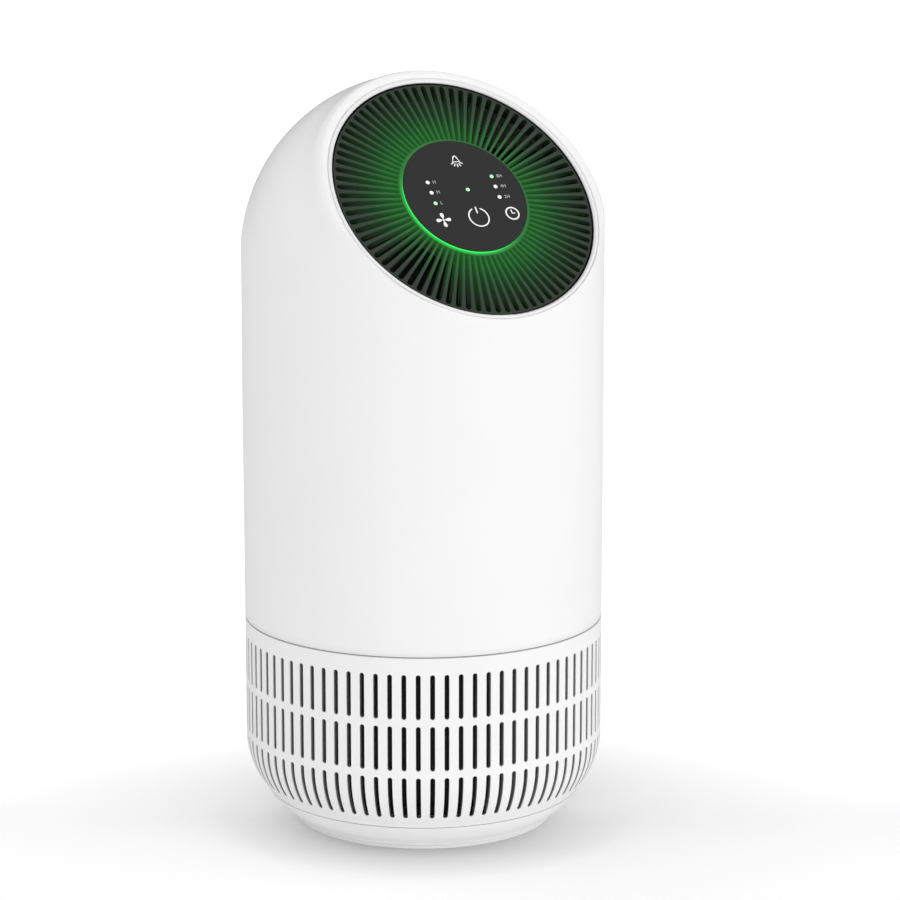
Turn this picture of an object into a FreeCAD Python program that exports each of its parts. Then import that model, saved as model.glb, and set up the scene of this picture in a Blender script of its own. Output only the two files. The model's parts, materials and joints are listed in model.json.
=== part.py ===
"""Tower air purifier: a white capsule with a slanted outlet and touch panel on top.

Frame: millimetres, origin at the centre of the foot, +Z up, the slanted outlet faces -Y.
Air enters through the slotted lower shell, passes the ring filter, is lifted by a
centrifugal fan and leaves through the round grille. The base cover twists off so that
the filter can be taken out; at rest the bayonet is in its released position.
"""
import FreeCAD, Part
import math
import os

Vec = FreeCAD.Vector
UP = Vec(0, 0, 1)

# ---------------------------------------------------------------- driving dimensions
BODY_R = 82.0          # outer radius of the capsule
WALL = 2.4             # wall of the moulded shells
GAP = 0.3              # clearance between parts of different bodies
DOME_Z = 259.5         # centre of the spherical dome
SPLIT_Z = 94.7         # parting line between main shell and intake grille
SEAM_Z = 13.9          # seam between intake grille and base cover
SEAM_R = 72.2
SEAM_GAP = 0.3         # open line that shows between two shells
FLANGE_R = 67.0        # inner edge of the flange under the fan plate
FOOT_R = 60.4
FOOT_H = 1.7

# slanted outlet, in a local frame: x = X, y = up the slope, z = outward normal
TILT = 49.4            # angle of the outlet normal from vertical
DISC_RISE = 49.0       # outlet plane above the dome centre, along the normal
DISC_DROP = 2.2        # outlet axis below the dome centre, down the slope
DISC_R = 61.2
PANEL_R = 29.3
PANEL_PROUD = 1.3
TRIM_R = 63.5
TRIM_DEPTH = 4.4
TRIM_PROUD = 1.1       # the ring's crest over the grille
GRILLE_R = 60.8        # leaves a dark gap inside the ring
CUP_R = 27.6           # electronics cup under the panel
CUP_DEPTH = 17.0
CUP_SCREW_R = 25.0
CUP_SCREW_ANGLES = (30, 150, 270)
MOUTH_R = 60.0         # opening under the grille
LEDGE_DROP = 6.5       # underside of the ledge that carries the grille
COLLAR_R = 65.7        # centre line of the rounded rim of the mouth
COLLAR_RISE = 48.1
RIM_ROUND = 2.4
COLLAR_FILLET = 16.0   # hollow between rim and dome

# intake slots
SLOT_COUNT = 82
SLOT_W = 2.15
SLOT_ROWS = ((19.8, 40.0), (43.1, 63.4), (66.5, 86.8))
SLOT_PHASE = 0.8       # degrees from the front to the nearest slot

# outlet slots
VENT_COUNT = 80
VENT_INNER_R = 30.9    # leaves a plain band beside the panel
VENT_FULL_R = 51.0     # a slot keeps its full width from here outwards
VENT_OUTER_R = 60.0
VENT_OUTER_W = 2.6
VENT_INNER_W = 1.5
VENT_DEPTH = 5.0

# filter
FILTER_R = 64.5
FILTER_Z0 = 8.6
FILTER_Z1 = 92.0
CAP_T = 3.0
CORE_R = 39.2
PLEATS = 60

# fan
DUCT_R = 67.8
DUCT_WALL = 1.8
PLATE_Z = 95.0
PLATE_T = 2.5
CASE_SCREW_R = 74.5    # circle of the screws that join both shells and the fan plate
CASE_SCREW_ANGLES = (45, 135, 225, 315)
CASE_BOSS_TOP = 116.0
GUARD_RINGS = (15.0, 29.0)
GUARD_RIB = 1.6
GUARD_STEP = 60        # degrees between the guard's spokes
IMPELLER_R = 56.0
IMPELLER_Z0 = 104.0
IMPELLER_Z1 = 139.0
BLADES = 11
SHAFT_R = 1.5
SHAFT_FIT = 0.04       # radial running clearance in the bearings
MOTOR_R = 20.0
MOTOR_Z0 = 146.0
MOTOR_Z1 = 176.0
MOUNT_Z = 142.0
MOUNT_SCREW_ANGLES = (90, 210, 330)
MOUNT_SCREW_R = DUCT_R - 4.4
MOTOR_SCREW_R = 13.0
HUB_DROP = 17.0        # depth of the impeller's hub below its back plate

# bayonet
SKIRT_R = 67.2
SKIRT_TOP = 22.0
LUG_R = 69.2
LUG_Z = (19.0, 21.8)
LEDGE_Z = (15.6, 18.4)
LUG_HALF = 10.0        # half width of a lug, degrees
GATE_HALF = 13.0       # half width of the entry between two ledges, degrees
LOCK_TURN = 24.0       # turn from released to locked, degrees
LUGS = 4

# rear inlet and board
JACK_Z = 112.0
JACK_R = 6.0
JACK_MOUTH_Y = 78.9    # the plug's bore starts inside the shell's wall
BOARD_Y = 69.6
BOARD_Z = (124.0, 172.0)
BOARD_HALF_W = 30.0
BOARD_T = 1.6
BOARD_SCREW_X = (-26.0, 26.0)
BOARD_SCREW_Z = (BOARD_Z[0] + 4, BOARD_Z[1] - 4)


# ---------------------------------------------------------------- helpers
def cyl(r, z0, z1, x=0.0, y=0.0):
    return Part.makeCylinder(r, z1 - z0, Vec(x, y, z0))


def ring(r_out, r_in, z0, z1, x=0.0, y=0.0):
    return cyl(r_out, z0, z1, x, y).cut(cyl(r_in, z0 - 1, z1 + 1, x, y))


def box(x0, x1, y0, y1, z0, z1):
    return Part.makeBox(x1 - x0, y1 - y0, z1 - z0, Vec(x0, y0, z0))


def turned(shape, degrees):
    copy = shape.copy()
    copy.rotate(Vec(0, 0, 0), UP, degrees)
    return copy


def around(shape, count, start=0.0):
    return [turned(shape, start + 360.0 * i / count) for i in range(count)]


def outline(steps):
    """Closed wire in the XZ plane; a step is (r, z), or (mid, end) for an arc."""
    first = steps[0]
    here = first
    edges = []
    for step in steps[1:] + [first]:
        if isinstance(step[0], tuple):
            mid, end = step
            edges.append(Part.Arc(Vec(here[0], 0, here[1]), Vec(mid[0], 0, mid[1]),
                                  Vec(end[0], 0, end[1])).toShape())
            here = end
        elif step != here:
            edges.append(Part.LineSegment(Vec(here[0], 0, here[1]),
                                          Vec(step[0], 0, step[1])).toShape())
            here = step
    return Part.Wire(edges)


def revolved(steps):
    return Part.Face(outline(steps)).revolve(Vec(0, 0, 0), UP, 360)


def prism(points, z0, z1):
    corners = [Vec(x, y, z0) for x, y in points]
    face = Part.Face(Part.makePolygon(corners + corners[:1]))
    return face.extrude(Vec(0, 0, z1 - z0))


def sector(r_out, r_in, z0, z1, centre, half):
    """A piece of a ring that spans +-half degrees about the given angle."""
    wedge = Part.makeCylinder(r_out, z1 - z0, Vec(0, 0, z0), UP, 2 * half)
    wedge = wedge.cut(cyl(r_in, z0 - 1, z1 + 1))
    return turned(wedge, centre - half)


def polar(r, degrees):
    a = math.radians(degrees)
    return r * math.cos(a), r * math.sin(a)


def on_slope(shape, about_dome=False):
    """Move a shape from the outlet's local frame into place."""
    out = shape.copy()
    if not about_dome:
        out.translate(Vec(0, -DISC_DROP, DISC_RISE))
    out.rotate(Vec(0, 0, 0), Vec(1, 0, 0), TILT)
    out.translate(Vec(0, 0, DOME_Z))
    return out


def group(solids):
    return Part.makeCompound(solids)


def clean(shape):
    """One tidy solid or compound of solids without splitter faces."""
    tidy = shape.removeSplitter()
    return tidy.Solids[0] if len(tidy.Solids) == 1 else Part.makeCompound(tidy.Solids)


# ---------------------------------------------------------------- outer shells
LOWER_ARC_R = 35.3
LOWER_ARC_Z = 39.0


def lower_arc(inset, degrees):
    """Point on the rounded lower edge, inset from the outside."""
    a = math.radians(degrees)
    r = LOWER_ARC_R - inset
    return BODY_R - LOWER_ARC_R + r * math.cos(a), LOWER_ARC_Z - r * math.sin(a)


def rim_points():
    """Where the rim's round meets the hollow, and the hollow meets the dome."""
    reach = BODY_R + COLLAR_FILLET
    near = RIM_ROUND + COLLAR_FILLET
    span = math.hypot(COLLAR_R, COLLAR_RISE)
    along = (reach ** 2 - near ** 2 + span ** 2) / (2 * span)
    side = math.sqrt(reach ** 2 - along ** 2)
    ux, uz = COLLAR_R / span, COLLAR_RISE / span
    centre = (along * ux + side * uz, along * uz - side * ux)
    dome = (centre[0] * BODY_R / reach, centre[1] * BODY_R / reach)
    k = RIM_ROUND / near
    rim = (COLLAR_R + (centre[0] - COLLAR_R) * k, COLLAR_RISE + (centre[1] - COLLAR_RISE) * k)
    return centre, rim, dome


def arc_mid(centre, radius, a, b):
    """Middle of the short arc from a to b."""
    mx = (a[0] + b[0]) / 2 - centre[0]
    mz = (a[1] + b[1]) / 2 - centre[1]
    size = math.hypot(mx, mz)
    return centre[0] + mx * radius / size, centre[1] + mz * radius / size


def outer_body():
    """The full outside form above the parting line: capsule, collar and slanted cut."""
    hollow, rim, dome = rim_points()
    top = COLLAR_RISE + RIM_ROUND
    round_c = (COLLAR_R, COLLAR_RISE)
    head = revolved([
        (0.0, -BODY_R),
        ((BODY_R, 0.0), dome),
        (arc_mid(hollow, COLLAR_FILLET, dome, rim), rim),
        (arc_mid(round_c, RIM_ROUND, rim, (COLLAR_R, top)), (COLLAR_R, top)),
        (0.0, top),
    ])
    head = on_slope(head, about_dome=True)
    column = cyl(BODY_R, SPLIT_Z, DOME_Z)
    slab = on_slope(box(-150, 150, -150, 150, top, top + 200), about_dome=True)
    body = column.fuse(head).cut(slab)
    return body.cut(cyl(BODY_R + 10, -50, SPLIT_Z))


def inner_body():
    inner_r = BODY_R - WALL
    form = cyl(inner_r, SPLIT_Z - 5, DOME_Z).fuse(Part.makeSphere(inner_r, Vec(0, 0, DOME_Z)))
    ceiling = DISC_RISE - LEDGE_DROP
    slab = on_slope(box(-150, 150, -150, 150, ceiling, ceiling + 200), about_dome=True)
    return form.cut(slab).cut(cyl(BODY_R + 10, -50, SPLIT_Z - 5))


def main_shell():
    shell = outer_body().cut(inner_body())
    shell = shell.cut(on_slope(cyl(TRIM_R + GAP, -TRIM_DEPTH - 0.1, 20)))
    shell = shell.cut(on_slope(cyl(MOUTH_R, -20, 20)))
    for angle in CASE_SCREW_ANGLES:
        x, y = polar(CASE_SCREW_R, angle)
        boss = cyl(3.6, PLATE_Z + PLATE_T, CASE_BOSS_TOP, x, y).fuse(
            Part.makeCone(3.6, 0.6, 8, Vec(x, y, CASE_BOSS_TOP)))
        web = box(CASE_SCREW_R, 80.5, -0.8, 0.8, PLATE_Z + PLATE_T, CASE_BOSS_TOP)
        shell = shell.fuse(boss).fuse(turned(web, angle))
        shell = shell.cut(cyl(1.3, PLATE_Z, CASE_BOSS_TOP - 4, x, y))
    jack_hole = Part.makeCylinder(JACK_R + 0.2, 30, Vec(0, 65, JACK_Z), Vec(0, 1, 0))
    return clean(shell.cut(jack_hole))


def trim_ring():
    top = TRIM_PROUD
    steps = [
        (DISC_R + GAP, -TRIM_DEPTH),
        (TRIM_R, -TRIM_DEPTH),
        (TRIM_R, top - 0.5),
        ((TRIM_R - 0.15, top - 0.15), (TRIM_R - 0.5, top)),
        (DISC_R + 1.2, top),
        ((DISC_R + 0.6, top - 0.32), (DISC_R + GAP, top - 1.1)),
    ]
    return on_slope(revolved(steps))


def intake_grille():
    low = lower_arc(0, 42)
    low_in = lower_arc(WALL, 42)
    bottom = (SEAM_R, SEAM_Z + SEAM_GAP / 2)
    bottom_in = (SEAM_R - WALL * 1.1, SEAM_Z + SEAM_GAP / 2)
    top = SPLIT_Z - SEAM_GAP / 2
    steps = [
        bottom,
        low,
        (lower_arc(0, 21), lower_arc(0, 0)),
        (BODY_R, top),
        (FLANGE_R, top),
        (FLANGE_R, top - WALL),
        (BODY_R - WALL - 1.5, top - WALL),
        (BODY_R - WALL, top - WALL - 2.0),
        lower_arc(WALL, 0),
        (lower_arc(WALL, 21), low_in),
        bottom_in,
    ]
    shell = revolved(steps)
    for k in range(LUGS):
        gate = 90.0 * k
        mid = gate + 45.0
        ledge = sector(LUG_R + 2.8, SKIRT_R + 0.5, LEDGE_Z[0], LEDGE_Z[1], mid, 45.0 - GATE_HALF)
        stop = sector(LUG_R + 5.0, SKIRT_R + 0.5, LEDGE_Z[1] - 0.2, LUG_Z[1],
                      gate + LOCK_TURN + LUG_HALF + 3.2, 1.6)
        shell = shell.fuse(ledge).fuse(stop)
    for angle in CASE_SCREW_ANGLES:
        x, y = polar(CASE_SCREW_R, angle)
        shell = shell.cut(cyl(1.7, top - 6, top + 3, x, y))
    half = SLOT_W / 2
    tools = []
    for z0, z1 in SLOT_ROWS:
        slot = box(-half, half, -BODY_R - 5, -60, z0 + half, z1 - half)
        for z in (z0 + half, z1 - half):
            end = Part.makeCylinder(half, BODY_R - 55, Vec(0, -BODY_R - 5, z), Vec(0, 1, 0))
            slot = slot.fuse(end)
        tools += around(slot.removeSplitter(), SLOT_COUNT, SLOT_PHASE)
    return clean(shell.cut(group(tools)))


def base_cover():
    edge = (SEAM_R, SEAM_Z - SEAM_GAP / 2)
    toe = (62.0, 3.5)
    floor_top = 6.2
    well_top = FILTER_Z0 + 0.6
    steps = [
        (0.0, 2.0),
        (53.8, 2.0),
        (53.8, 4.4),
        (58.2, 4.4),
        (58.2, 2.0),
        (61.0, 2.0),
        toe,
        ((67.8, 8.1), edge),
        (SEAM_R - 2.2, SEAM_Z - SEAM_GAP / 2),
        (SKIRT_R, 12.4),
        (SKIRT_R, SKIRT_TOP),
        (SKIRT_R - 2.0, SKIRT_TOP),
        (SKIRT_R - 2.0, 8.0),
        (61.5, floor_top),
        (41.0, floor_top),
        (38.0, well_top),
        (0.0, well_top),
    ]
    cover = revolved(steps)
    for k in range(LUGS):
        lug = sector(LUG_R, SKIRT_R - 0.4, LUG_Z[0], LUG_Z[1], 90.0 * k, LUG_HALF)
        cover = cover.fuse(lug)
    pads = around(box(46, 58, -1.2, 1.2, floor_top - 0.5, FILTER_Z0 - GAP), 8, 22.5)
    for pad in pads:
        cover = cover.fuse(pad)
    finger_wells = cyl(34, 1.0, well_top - 2.0).cut(box(-40, 40, -6, 6, 0, 10))
    return clean(cover.cut(finger_wells))


def foot_ring():
    steps = [
        (52.0, 0.4),
        (52.4, 0.0),
        (FOOT_R - 0.5, 0.0),
        (FOOT_R, 0.5),
        (FOOT_R, FOOT_H),
        (58.1, FOOT_H + 0.3),
        (58.1, 4.3),
        (53.9, 4.3),
        (53.9, FOOT_H + 0.3),
        (52.0, FOOT_H),
    ]
    return revolved(steps)


# ---------------------------------------------------------------- outlet and controls
def outlet_grille():
    rim = revolved([
        (0.0, -VENT_DEPTH),
        (59.8, -VENT_DEPTH),
        (59.8, -TRIM_DEPTH),
        (GRILLE_R, -TRIM_DEPTH),
        (GRILLE_R, -0.3),
        ((GRILLE_R - 0.09, -0.09), (GRILLE_R - 0.3, 0.0)),
        (0.0, 0.0),
    ])
    half_out = VENT_OUTER_W / 2
    half_in = VENT_INNER_W / 2
    reach = VENT_OUTER_R - half_out
    vent = prism([(VENT_INNER_R, -half_in), (VENT_FULL_R, -half_out), (reach, -half_out),
                  (reach, half_out), (VENT_FULL_R, half_out), (VENT_INNER_R, half_in)],
                 -VENT_DEPTH - 1, 1)
    vent = vent.fuse(cyl(half_out, -VENT_DEPTH - 1, 1, reach, 0)).removeSplitter()
    rim = rim.cut(group(around(vent, VENT_COUNT)))
    rim = rim.cut(cyl(PANEL_R + 0.1, -3.0, 1))
    rim = rim.cut(cyl(22.0, -VENT_DEPTH - 1, 1))
    screws = [cyl(1.0, -VENT_DEPTH - 1, 0, *polar(CUP_SCREW_R, a)) for a in CUP_SCREW_ANGLES]
    rim = rim.cut(group(screws))
    hook = box(57.6, 59.6, -3, 3, -11.0, -VENT_DEPTH + 0.2)
    hook = hook.fuse(box(58.6, 61.6, -3, 3, -10.0, -8.0))
    for angle in (0, 90, 180, 270):
        rim = rim.fuse(turned(hook, angle + 2.25))
    return on_slope(clean(rim))


def light_guide_ring():
    return on_slope(ring(PANEL_R, 26.4, -3.0, PANEL_PROUD - 0.6))


def control_panel():
    top = PANEL_PROUD
    steps = [
        (0.0, top - 0.6),
        (PANEL_R, top - 0.6),
        (PANEL_R, top - 0.15),
        (PANEL_R - 0.15, top),
        (0.0, top),
    ]
    return on_slope(revolved(steps))


def touch_board():
    board = cyl(25.8, -3.0, -1.6)
    holes = [cyl(1.3, -4, 0, *polar(CUP_SCREW_R, a)) for a in CUP_SCREW_ANGLES]
    return on_slope(board.cut(group(holes)))


ICON_SHIFT = 2.1
KEYS = ((0.0, 18.4), (-17.3, -12.0), (0.3, -11.7), (17.4, -10.9))
LEVELS = (8.1, 2.9, -2.6)


def indicator_leds():
    spots = [(ICON_SHIFT - 18.2, y) for y in LEVELS]
    spots += [(ICON_SHIFT + 14.2, y) for y in LEVELS]
    spots.append((ICON_SHIFT, 2.9))
    return on_slope(group([box(x - 0.8, x + 0.8, y - 0.5, y + 0.5, -1.6, -0.9) for x, y in spots]))


def ring_leds():
    led = box(23.2, 25.2, -1.2, 1.2, -1.6, -0.6)
    return on_slope(group(around(led, 12, 15)))


def touch_pads():
    return on_slope(group([ring(2.8, 1.6, -1.6, PANEL_PROUD - 0.6, x + ICON_SHIFT, y)
                           for x, y in KEYS]))


def control_cup():
    steps = [
        (CUP_R, -VENT_DEPTH),
        (CUP_R, -9.0),
        ((26.0, -14.0), (21.0, -CUP_DEPTH)),
        (0.0, -CUP_DEPTH),
        (0.0, -15.4),
        (20.6, -15.4),
        ((24.7, -13.0), (26.0, -9.0)),
        (26.0, -VENT_DEPTH),
    ]
    cup = revolved(steps)
    for angle in CUP_SCREW_ANGLES:
        x, y = polar(CUP_SCREW_R, angle)
        post = cyl(2.4, -14.5, -VENT_DEPTH, x, y)
        cup = cup.fuse(post.common(cyl(CUP_R, -CUP_DEPTH, -VENT_DEPTH)))
        cup = cup.cut(cyl(1.15, -20, 0, x, y)).cut(cyl(2.3, -30, -12.0, x, y))
    return on_slope(clean(cup))


def cup_screws():
    screw = cyl(0.95, -12.0, -1.8).fuse(cyl(2.0, -13.6, -12.0))
    screws = []
    for angle in CUP_SCREW_ANGLES:
        piece = screw.copy()
        x, y = polar(CUP_SCREW_R, angle)
        piece.translate(Vec(x, y, 0))
        screws.append(piece)
    return on_slope(group(screws))


# ---------------------------------------------------------------- fan section
def air_duct():
    duct = ring(DUCT_R, DUCT_R - DUCT_WALL, PLATE_Z + PLATE_T, 330)
    duct = duct.common(Part.makeSphere(BODY_R - WALL - 1.0, Vec(0, 0, DOME_Z)).fuse(
        cyl(BODY_R, 0, DOME_Z)))
    ceiling = DISC_RISE - 20.0
    duct = duct.cut(on_slope(box(-150, 150, -150, 150, ceiling, ceiling + 200), about_dome=True))
    for angle in MOUNT_SCREW_ANGLES:
        x, y = polar(MOUNT_SCREW_R, angle)
        boss = cyl(3.2, PLATE_Z + PLATE_T, MOUNT_Z, x, y)
        web = box(MOUNT_SCREW_R, DUCT_R - 1.0, -1, 1, PLATE_Z + PLATE_T, MOUNT_Z)
        duct = duct.fuse(boss).fuse(turned(web, angle))
        duct = duct.cut(cyl(1.1, MOUNT_Z - 10, MOUNT_Z + 1, x, y))
    return clean(duct)


def fan_plate():
    throat = 36.0
    steps = [
        (79.2, PLATE_Z),
        (79.2, PLATE_Z + PLATE_T),
        (43.8, PLATE_Z + PLATE_T),
        ((39.4, PLATE_Z + 4.4), (throat + 1.6, PLATE_Z + 9.0)),
        (throat + 1.6, PLATE_Z + 11.5),
        (throat, PLATE_Z + 11.5),
        (throat, PLATE_Z + 8.6),
        ((38.0, PLATE_Z + 3.2), (42.6, PLATE_Z)),
    ]
    plate = revolved(steps)
    for angle in CASE_SCREW_ANGLES:
        plate = plate.cut(cyl(1.7, PLATE_Z - 1, PLATE_Z + 5, *polar(CASE_SCREW_R, angle)))
    return plate


def finger_guard():
    z0 = PLATE_Z - 1.8
    guard = ring(47.0, 42.6, z0, PLATE_Z)
    for r in GUARD_RINGS:
        guard = guard.fuse(ring(r, r - GUARD_RIB, z0, PLATE_Z))
    spoke = box(-43.5, 43.5, -GUARD_RIB / 2, GUARD_RIB / 2, z0, PLATE_Z)
    for angle in range(0, 180, GUARD_STEP):
        guard = guard.fuse(turned(spoke, angle))
    return clean(guard)


def case_screws():
    screws = []
    seat = SPLIT_Z - SEAM_GAP / 2 - WALL
    for angle in CASE_SCREW_ANGLES:
        x, y = polar(CASE_SCREW_R, angle)
        head = cyl(2.9, seat - 1.8, seat, x, y)
        screws.append(head.fuse(cyl(1.25, seat - 0.4, 110, x, y)))
    return group(screws)


def impeller_blade():
    """A backward-curved blade, leaning back from its inner to its outer end."""
    r_in, r_out, sweep, bow = 40.5, IMPELLER_R, 34.0, 3.0
    thick = 0.7

    def edge(shift):
        a = Vec(*polar(r_in, shift), 0)
        b = Vec(*polar(r_out, shift - sweep), 0)
        across = (b - a).cross(UP).normalize()
        return a, (a + b) * 0.5 - across * bow, b

    turn = math.degrees(2 * thick / (r_in + r_out))
    a0, m0, b0 = edge(-turn)
    a1, m1, b1 = edge(turn)
    wire = Part.Wire([
        Part.Arc(a0, m0, b0).toShape(),
        Part.LineSegment(b0, b1).toShape(),
        Part.Arc(b1, m1, a1).toShape(),
        Part.LineSegment(a1, a0).toShape(),
    ])
    blade = Part.Face(wire).extrude(Vec(0, 0, IMPELLER_Z1 - IMPELLER_Z0))
    blade.translate(Vec(0, 0, IMPELLER_Z0))
    return blade


def impeller():
    z0, z1 = IMPELLER_Z0, IMPELLER_Z1
    blades = group(around(impeller_blade(), BLADES))
    envelope = revolved([(0, z1 - 1), (IMPELLER_R, z1 - 1), (IMPELLER_R, z0 + 5.5),
                         (39.5, z0 + 0.5), (0, z0 + 0.5)])
    wheel = blades.common(envelope)
    shroud = revolved([(39.3, z0), (40.6, z0), (IMPELLER_R, z0 + 5.2),
                       (IMPELLER_R, z0 + 6.6), (39.3, z0 + 1.6)])
    back = revolved([
        (SHAFT_R, z1 - HUB_DROP), (6.0, z1 - HUB_DROP), (7.0, z1 - 15.0),
        ((16.0, z1 - 8.5), (30.0, z1 - 2.0)),
        (IMPELLER_R, z1 - 2.0), (IMPELLER_R, z1),
        (29.5, z1),
        ((16.5, z1 - 6.0), (8.5, z1 - 12.0)), (5.5, z1 - 12.0), (5.5, z1 - 1.0), (SHAFT_R, z1 - 1.0),
    ])
    return clean(shroud.fuse(wheel).fuse(back))


def impeller_nut():
    z1 = IMPELLER_Z1 - HUB_DROP
    nut = prism([polar(4.2, 60 * i) for i in range(6)], z1 - 2.6, z1)
    return nut.cut(cyl(SHAFT_R, z1 - 5, z1 + 1))


def motor_shaft():
    z0 = IMPELLER_Z1 - HUB_DROP - 4.0
    return cyl(SHAFT_R, z0, MOTOR_Z1 + 1.0)


def motor_bearings():
    lower = ring(4.0, SHAFT_R + SHAFT_FIT, MOTOR_Z0, MOTOR_Z0 + 3.0)
    upper = ring(4.0, SHAFT_R + SHAFT_FIT, MOTOR_Z1 - 4.6, MOTOR_Z1 - 1.6)
    return group([lower, upper])


def motor_rotor():
    return ring(9.0, SHAFT_R, MOTOR_Z0 + 6.0, MOTOR_Z1 - 8.0)


def motor_stator():
    core = ring(16.8, 12.6, MOTOR_Z0 + 6.5, MOTOR_Z1 - 8.5)
    tooth = box(9.6, 13.0, -1.5, 1.5, MOTOR_Z0 + 6.5, MOTOR_Z1 - 8.5)
    for piece in around(tooth, 6):
        core = core.fuse(piece)
    return clean(core)


def motor_can():
    z0 = MOTOR_Z0
    steps = [
        (4.0, z0), (17.0, z0), ((19.1, z0 + 0.9), (MOTOR_R, z0 + 3.0)),
        (MOTOR_R, MOTOR_Z1 - 3.0), (MOTOR_R - 1.2, MOTOR_Z1 - 3.0),
        (MOTOR_R - 1.2, MOTOR_Z1 - 8.5), (16.8, MOTOR_Z1 - 8.5), (16.8, z0 + 3.4),
        (4.0, z0 + 3.4),
    ]
    return revolved(steps)


def motor_end_cap():
    z1 = MOTOR_Z1
    steps = [
        (2.2, z1 - 1.6), (4.0, z1 - 1.6), (4.0, z1 - 4.6), (6.0, z1 - 4.6), (6.0, z1 - 3.0),
        (MOTOR_R, z1 - 3.0), (MOTOR_R, z1 - 1.6), (8.0, z1 - 1.0), (6.5, z1 + 0.2), (2.2, z1 + 0.2),
    ]
    return revolved(steps)


def motor_mount():
    """Carrier plate over the impeller, with guide vanes out to the duct wall."""
    z0 = MOUNT_Z
    hub = revolved([(6.0, z0), (38.0, z0), (38.0, z0 + 24.0), (36.4, z0 + 24.0),
                    (36.4, z0 + 2.4), (6.0, z0 + 2.4)])
    rim = ring(DUCT_R - DUCT_WALL - 0.2, DUCT_R - DUCT_WALL - 1.6, z0 + 6.0, z0 + 24.0)
    vane = box(37.0, DUCT_R - DUCT_WALL - 1.0, -0.7, 0.7, z0 + 8.0, z0 + 24.0)
    mount = hub.fuse(rim)
    for piece in around(vane, 9, 10):
        mount = mount.fuse(piece)
    for angle in MOUNT_SCREW_ANGLES:
        arm = turned(box(36.0, DUCT_R - 6.0, -3.0, 3.0, z0, z0 + 3.0), angle)
        x, y = polar(MOUNT_SCREW_R, angle)
        foot = cyl(3.2, z0, z0 + 3.0, x, y).common(cyl(DUCT_R - DUCT_WALL - 0.2, z0, z0 + 3.0))
        mount = mount.fuse(arm).fuse(foot).cut(cyl(1.5, z0 - 1, z0 + 4, x, y))
    holes = [cyl(1.6, z0 - 1, z0 + 4, *polar(MOTOR_SCREW_R, a)) for a in MOUNT_SCREW_ANGLES]
    return clean(mount.cut(group(holes)))


def motor_dampers():
    """Rubber rings between the mount plate and the motor's lower face."""
    return group([ring(3.4, 1.6, MOUNT_Z + 2.4, MOTOR_Z0, *polar(MOTOR_SCREW_R, a))
                  for a in MOUNT_SCREW_ANGLES])


def motor_screws():
    screws = []
    for angle in MOUNT_SCREW_ANGLES:
        x, y = polar(MOTOR_SCREW_R, angle)
        screws.append(cyl(2.6, MOUNT_Z - 1.2, MOUNT_Z, x, y).fuse(
            cyl(1.2, MOUNT_Z, MOTOR_Z0, x, y)))
    return group(screws)


def mount_screws():
    screws = []
    for angle in MOUNT_SCREW_ANGLES:
        x, y = polar(MOUNT_SCREW_R, angle)
        screws.append(cyl(2.2, MOUNT_Z + 3.0, MOUNT_Z + 4.6, x, y).fuse(
            cyl(1.05, MOUNT_Z - 8.0, MOUNT_Z + 3.0, x, y)))
    return group(screws)


# ---------------------------------------------------------------- filter
def filter_media():
    """Pleated ring: a folded band of even thickness between the two end caps."""
    r_in, r_out, thick = CORE_R + 4.0, 60.0, 0.9
    outer, inner = [], []
    for i in range(2 * PLEATS):
        a = 360.0 * i / (2 * PLEATS)
        tip = i % 2 == 0
        outer.append(polar(r_out if tip else r_in + thick * 3.2, a))
        inner.append(polar(r_out - thick * 3.2 if tip else r_in, a))
    z0, z1 = FILTER_Z0 + CAP_T, FILTER_Z1 - CAP_T
    return prism(outer, z0, z1).cut(prism(inner, z0 - 1, z1 + 1))


def filter_carbon():
    return ring(CORE_R + 3.4, CORE_R + 0.4, FILTER_Z0 + CAP_T, FILTER_Z1 - CAP_T)


def filter_mesh():
    return ring(62.0, 60.8, FILTER_Z0 + CAP_T, FILTER_Z1 - CAP_T)


def filter_bottom_cap():
    z0 = FILTER_Z0
    return revolved([
        (0.0, z0 + 1.0), (0.0, z0 + CAP_T), (FILTER_R - 1.6, z0 + CAP_T),
        (FILTER_R - 1.6, z0 + CAP_T + 3.0), (FILTER_R, z0 + CAP_T + 3.0),
        (FILTER_R, z0 + 0.6), (FILTER_R - 0.6, z0), (44.0, z0), (43.0, z0 + 1.0),
    ])


def filter_top_cap():
    z1 = FILTER_Z1
    return revolved([
        (CORE_R, z1 - CAP_T), (CORE_R, z1 - 0.6), (CORE_R + 0.6, z1),
        (FILTER_R - 0.6, z1), (FILTER_R, z1 - 0.6), (FILTER_R, z1 - CAP_T - 3.0),
        (FILTER_R - 1.6, z1 - CAP_T - 3.0), (FILTER_R - 1.6, z1 - CAP_T),
    ])


def filter_seal():
    """Foam ring on the top cap that presses towards the fan plate."""
    z1 = PLATE_Z - GAP
    return revolved([
        (49.0, FILTER_Z1), (60.0, FILTER_Z1), (60.0, z1 - 0.6), (59.4, z1),
        (49.6, z1), (49.0, z1 - 0.6),
    ])


# ---------------------------------------------------------------- electronics
def main_board():
    board = box(-BOARD_HALF_W, BOARD_HALF_W, BOARD_Y, BOARD_Y + BOARD_T, *BOARD_Z)
    for x in BOARD_SCREW_X:
        for z in BOARD_SCREW_Z:
            board = board.cut(Part.makeCylinder(1.6, 10, Vec(x, BOARD_Y - 4, z), Vec(0, 1, 0)))
    return board


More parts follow.
